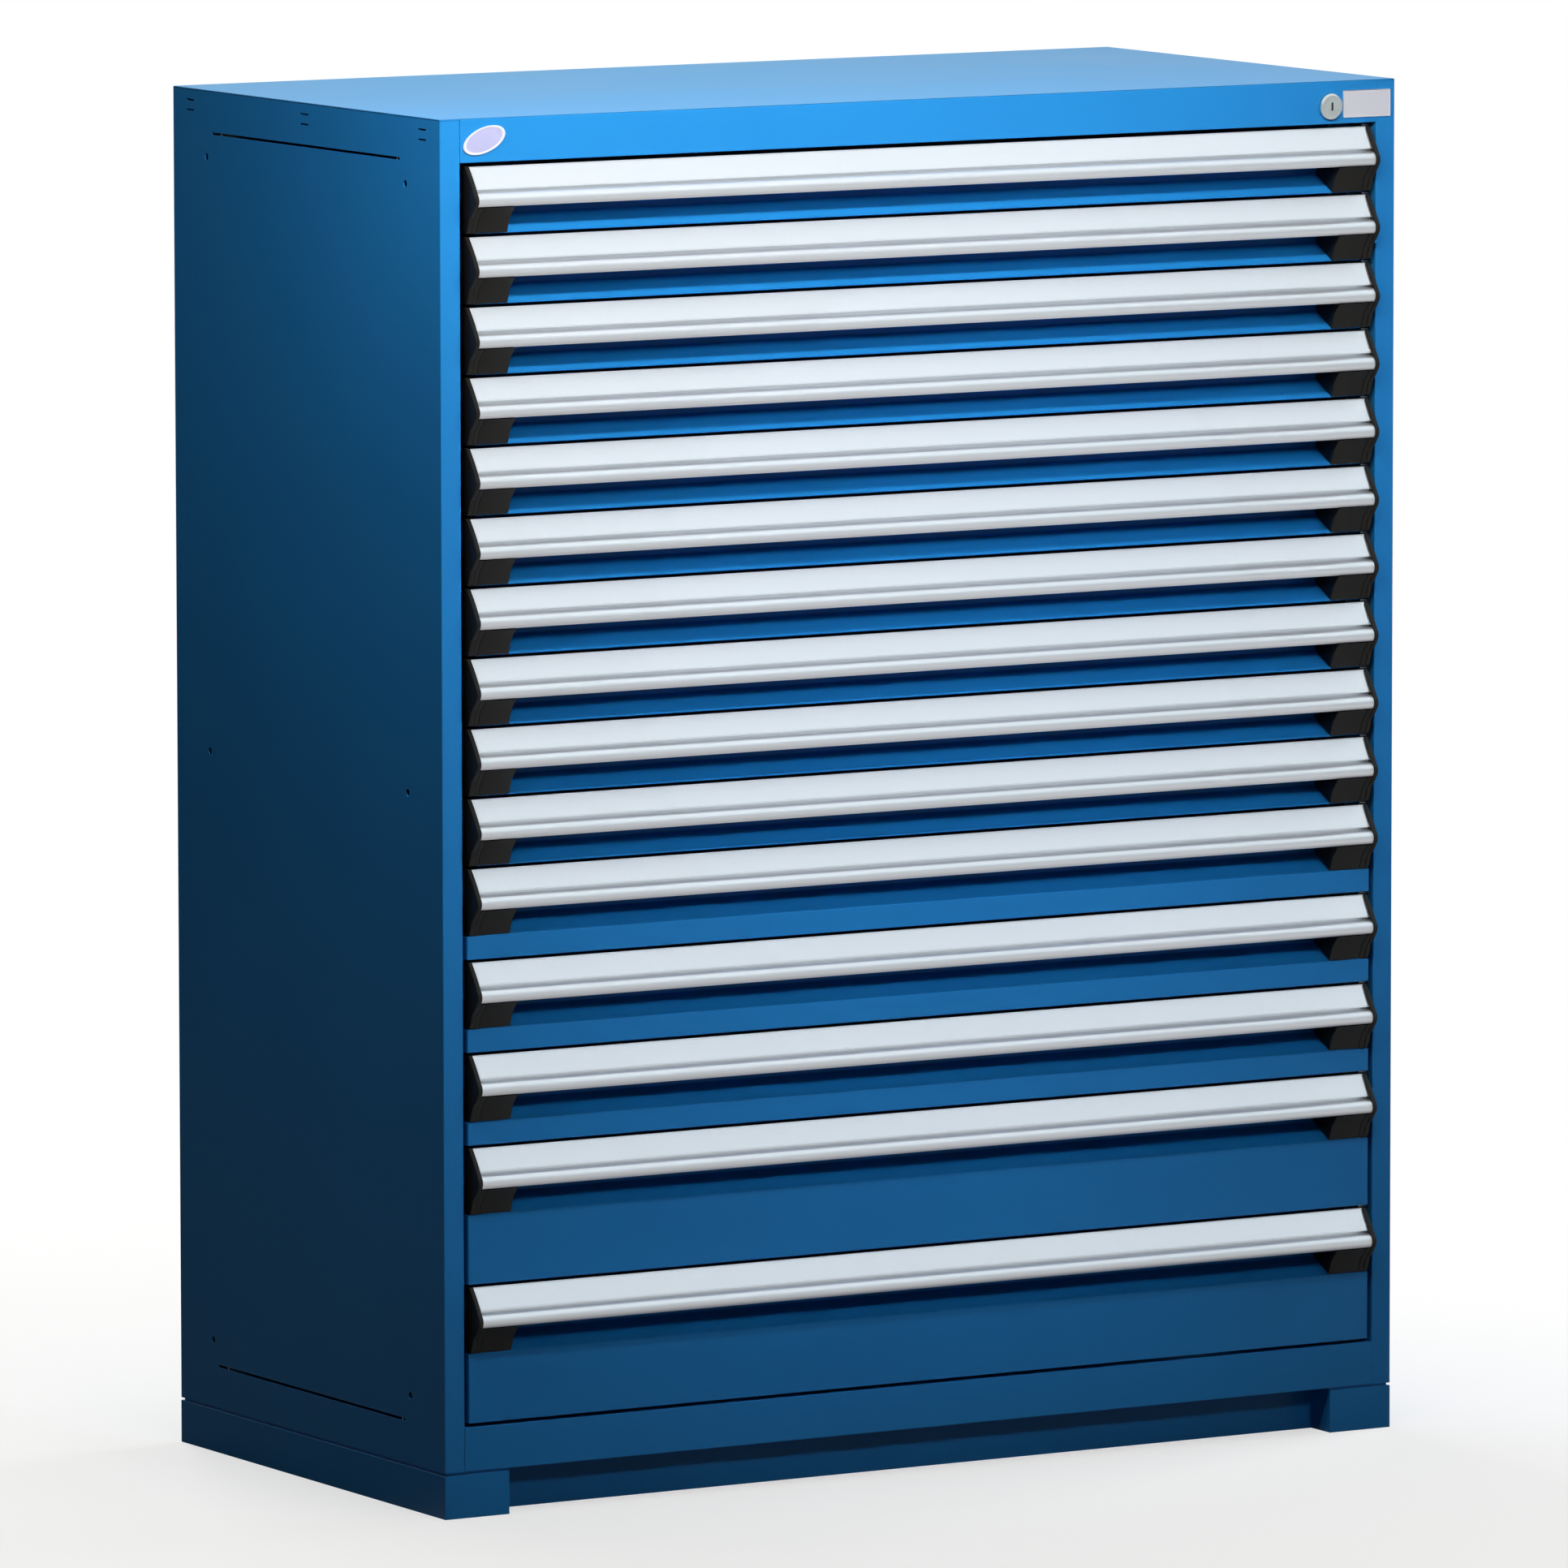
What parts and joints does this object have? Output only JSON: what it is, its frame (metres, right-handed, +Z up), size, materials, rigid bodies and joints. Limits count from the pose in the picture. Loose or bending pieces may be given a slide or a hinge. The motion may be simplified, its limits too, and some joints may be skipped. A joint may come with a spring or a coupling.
{
  "type": "modular drawer cabinet",
  "caption": "Steel tool cabinet with full-width drawers on roller slides, aluminium handles over finger recesses, a key lock and a recessed base.",
  "frame": {"origin": "on the floor, at the middle of the overall box with the handles in it", "axes": "+Z up; the drawers open towards -Y; +X to the right of someone who faces the drawers"},
  "size_m": [1.2192, 0.6306, 1.524],
  "materials": {
    "blue_powder_coat": "semi-gloss blue powder coat",
    "satin_aluminium": "satin anodised extrusion",
    "galvanised_steel": "zinc-plated pressed steel",
    "lock_chrome": "satin nickel plate",
    "black_abs": "moulded black ABS",
    "white_vinyl": "white vinyl and resin"
  },
  "bodies": {
    "housing": {"side_panel_left": "blue_powder_coat", "side_panel_right": "blue_powder_coat", "back_panel": "blue_powder_coat", "top_panel": "blue_powder_coat", "bottom_panel": "blue_powder_coat", "base_frame": "blue_powder_coat", "base_toe_plate": "blue_powder_coat", "uprights_left": "galvanised_steel", "uprights_right": "galvanised_steel", "cabinet_rails_left": "galvanised_steel", "cabinet_rails_right": "galvanised_steel", "lock_housing": "lock_chrome"},
    "drawer_01": {"drawer_01_box": "blue_powder_coat", "drawer_01_handle": "satin_aluminium"},
    "carriage_01": {"drawer_01_carriage": "galvanised_steel"},
    "drawer_02": {"drawer_02_box": "blue_powder_coat", "drawer_02_handle": "satin_aluminium"},
    "carriage_02": {"drawer_02_carriage": "galvanised_steel"},
    "drawer_03": {"drawer_03_box": "blue_powder_coat", "drawer_03_handle": "satin_aluminium"},
    "carriage_03": {"drawer_03_carriage": "galvanised_steel"},
    "drawer_04": {"drawer_04_box": "blue_powder_coat", "drawer_04_handle": "satin_aluminium"},
    "carriage_04": {"drawer_04_carriage": "galvanised_steel"},
    "drawer_05": {"drawer_05_box": "blue_powder_coat", "drawer_05_handle": "satin_aluminium"},
    "carriage_05": {"drawer_05_carriage": "galvanised_steel"},
    "drawer_06": {"drawer_06_box": "blue_powder_coat", "drawer_06_handle": "satin_aluminium"},
    "carriage_06": {"drawer_06_carriage": "galvanised_steel"},
    "drawer_07": {"drawer_07_box": "blue_powder_coat", "drawer_07_handle": "satin_aluminium"},
    "carriage_07": {"drawer_07_carriage": "galvanised_steel"},
    "drawer_08": {"drawer_08_box": "blue_powder_coat", "drawer_08_handle": "satin_aluminium"},
    "carriage_08": {"drawer_08_carriage": "galvanised_steel"},
    "drawer_09": {"drawer_09_box": "blue_powder_coat", "drawer_09_handle": "satin_aluminium"},
    "carriage_09": {"drawer_09_carriage": "galvanised_steel"},
    "drawer_10": {"drawer_10_box": "blue_powder_coat", "drawer_10_handle": "satin_aluminium"},
    "carriage_10": {"drawer_10_carriage": "galvanised_steel"},
    "drawer_11": {"drawer_11_box": "blue_powder_coat", "drawer_11_handle": "satin_aluminium"},
    "carriage_11": {"drawer_11_carriage": "galvanised_steel"},
    "drawer_12": {"drawer_12_box": "blue_powder_coat", "drawer_12_handle": "satin_aluminium"},
    "carriage_12": {"drawer_12_carriage": "galvanised_steel"},
    "drawer_13": {"drawer_13_box": "blue_powder_coat", "drawer_13_handle": "satin_aluminium"},
    "carriage_13": {"drawer_13_carriage": "galvanised_steel"},
    "drawer_14": {"drawer_14_box": "blue_powder_coat", "drawer_14_handle": "satin_aluminium"},
    "carriage_14": {"drawer_14_carriage": "galvanised_steel"},
    "drawer_15": {"drawer_15_box": "blue_powder_coat", "drawer_15_handle": "satin_aluminium"},
    "carriage_15": {"drawer_15_carriage": "galvanised_steel"},
    "lock_plug": {"lock_plug": "lock_chrome"},
    "lock_bar": {"lock_bar": "galvanised_steel"}
  },
  "joints": [
    {"name": "drawer_01_slide", "type": "slide", "parent": "housing", "child": "drawer_01", "axis": [0, -1, 0], "range_m": [0, 0.54]},
    {"name": "carriage_01_slide", "type": "slide", "parent": "housing", "child": "carriage_01", "axis": [0, -1, 0], "range_m": [0, 0.27]},
    {"name": "drawer_02_slide", "type": "slide", "parent": "housing", "child": "drawer_02", "axis": [0, -1, 0], "range_m": [0, 0.54]},
    {"name": "carriage_02_slide", "type": "slide", "parent": "housing", "child": "carriage_02", "axis": [0, -1, 0], "range_m": [0, 0.27]},
    {"name": "drawer_03_slide", "type": "slide", "parent": "housing", "child": "drawer_03", "axis": [0, -1, 0], "range_m": [0, 0.54]},
    {"name": "carriage_03_slide", "type": "slide", "parent": "housing", "child": "carriage_03", "axis": [0, -1, 0], "range_m": [0, 0.27]},
    {"name": "drawer_04_slide", "type": "slide", "parent": "housing", "child": "drawer_04", "axis": [0, -1, 0], "range_m": [0, 0.54]},
    {"name": "carriage_04_slide", "type": "slide", "parent": "housing", "child": "carriage_04", "axis": [0, -1, 0], "range_m": [0, 0.27]},
    {"name": "drawer_05_slide", "type": "slide", "parent": "housing", "child": "drawer_05", "axis": [0, -1, 0], "range_m": [0, 0.54]},
    {"name": "carriage_05_slide", "type": "slide", "parent": "housing", "child": "carriage_05", "axis": [0, -1, 0], "range_m": [0, 0.27]},
    {"name": "drawer_06_slide", "type": "slide", "parent": "housing", "child": "drawer_06", "axis": [0, -1, 0], "range_m": [0, 0.54]},
    {"name": "carriage_06_slide", "type": "slide", "parent": "housing", "child": "carriage_06", "axis": [0, -1, 0], "range_m": [0, 0.27]},
    {"name": "drawer_07_slide", "type": "slide", "parent": "housing", "child": "drawer_07", "axis": [0, -1, 0], "range_m": [0, 0.54]},
    {"name": "carriage_07_slide", "type": "slide", "parent": "housing", "child": "carriage_07", "axis": [0, -1, 0], "range_m": [0, 0.27]},
    {"name": "drawer_08_slide", "type": "slide", "parent": "housing", "child": "drawer_08", "axis": [0, -1, 0], "range_m": [0, 0.54]},
    {"name": "carriage_08_slide", "type": "slide", "parent": "housing", "child": "carriage_08", "axis": [0, -1, 0], "range_m": [0, 0.27]},
    {"name": "drawer_09_slide", "type": "slide", "parent": "housing", "child": "drawer_09", "axis": [0, -1, 0], "range_m": [0, 0.54]},
    {"name": "carriage_09_slide", "type": "slide", "parent": "housing", "child": "carriage_09", "axis": [0, -1, 0], "range_m": [0, 0.27]},
    {"name": "drawer_10_slide", "type": "slide", "parent": "housing", "child": "drawer_10", "axis": [0, -1, 0], "range_m": [0, 0.54]},
    {"name": "carriage_10_slide", "type": "slide", "parent": "housing", "child": "carriage_10", "axis": [0, -1, 0], "range_m": [0, 0.27]},
    {"name": "drawer_11_slide", "type": "slide", "parent": "housing", "child": "drawer_11", "axis": [0, -1, 0], "range_m": [0, 0.54]},
    {"name": "carriage_11_slide", "type": "slide", "parent": "housing", "child": "carriage_11", "axis": [0, -1, 0], "range_m": [0, 0.27]},
    {"name": "drawer_12_slide", "type": "slide", "parent": "housing", "child": "drawer_12", "axis": [0, -1, 0], "range_m": [0, 0.54]},
    {"name": "carriage_12_slide", "type": "slide", "parent": "housing", "child": "carriage_12", "axis": [0, -1, 0], "range_m": [0, 0.27]},
    {"name": "drawer_13_slide", "type": "slide", "parent": "housing", "child": "drawer_13", "axis": [0, -1, 0], "range_m": [0, 0.54]},
    {"name": "carriage_13_slide", "type": "slide", "parent": "housing", "child": "carriage_13", "axis": [0, -1, 0], "range_m": [0, 0.27]},
    {"name": "drawer_14_slide", "type": "slide", "parent": "housing", "child": "drawer_14", "axis": [0, -1, 0], "range_m": [0, 0.54]},
    {"name": "carriage_14_slide", "type": "slide", "parent": "housing", "child": "carriage_14", "axis": [0, -1, 0], "range_m": [0, 0.27]},
    {"name": "drawer_15_slide", "type": "slide", "parent": "housing", "child": "drawer_15", "axis": [0, -1, 0], "range_m": [0, 0.54]},
    {"name": "carriage_15_slide", "type": "slide", "parent": "housing", "child": "carriage_15", "axis": [0, -1, 0], "range_m": [0, 0.27]},
    {"name": "lock_bar_slide", "type": "slide", "parent": "housing", "child": "lock_bar", "axis": [0, 0, -1], "range_m": [0, 0.012]},
    {"name": "lock_plug_turn", "type": "hinge", "parent": "housing", "child": "lock_plug", "pos_m": [0.523, -0.2943, 1.496], "axis": [0, 1, 0], "range_deg": [0, 90]}
  ],
  "couplings": [
    {"joint": "carriage_01_slide", "follows": "drawer_01_slide", "ratio": 0.5},
    {"joint": "carriage_02_slide", "follows": "drawer_02_slide", "ratio": 0.5},
    {"joint": "carriage_03_slide", "follows": "drawer_03_slide", "ratio": 0.5},
    {"joint": "carriage_04_slide", "follows": "drawer_04_slide", "ratio": 0.5},
    {"joint": "carriage_05_slide", "follows": "drawer_05_slide", "ratio": 0.5},
    {"joint": "carriage_06_slide", "follows": "drawer_06_slide", "ratio": 0.5},
    {"joint": "carriage_07_slide", "follows": "drawer_07_slide", "ratio": 0.5},
    {"joint": "carriage_08_slide", "follows": "drawer_08_slide", "ratio": 0.5},
    {"joint": "carriage_09_slide", "follows": "drawer_09_slide", "ratio": 0.5},
    {"joint": "carriage_10_slide", "follows": "drawer_10_slide", "ratio": 0.5},
    {"joint": "carriage_11_slide", "follows": "drawer_11_slide", "ratio": 0.5},
    {"joint": "carriage_12_slide", "follows": "drawer_12_slide", "ratio": 0.5},
    {"joint": "carriage_13_slide", "follows": "drawer_13_slide", "ratio": 0.5},
    {"joint": "carriage_14_slide", "follows": "drawer_14_slide", "ratio": 0.5},
    {"joint": "carriage_15_slide", "follows": "drawer_15_slide", "ratio": 0.5},
    {"joint": "lock_plug_turn", "follows": "lock_bar_slide", "rad_per_m": 130.9}
  ]
}
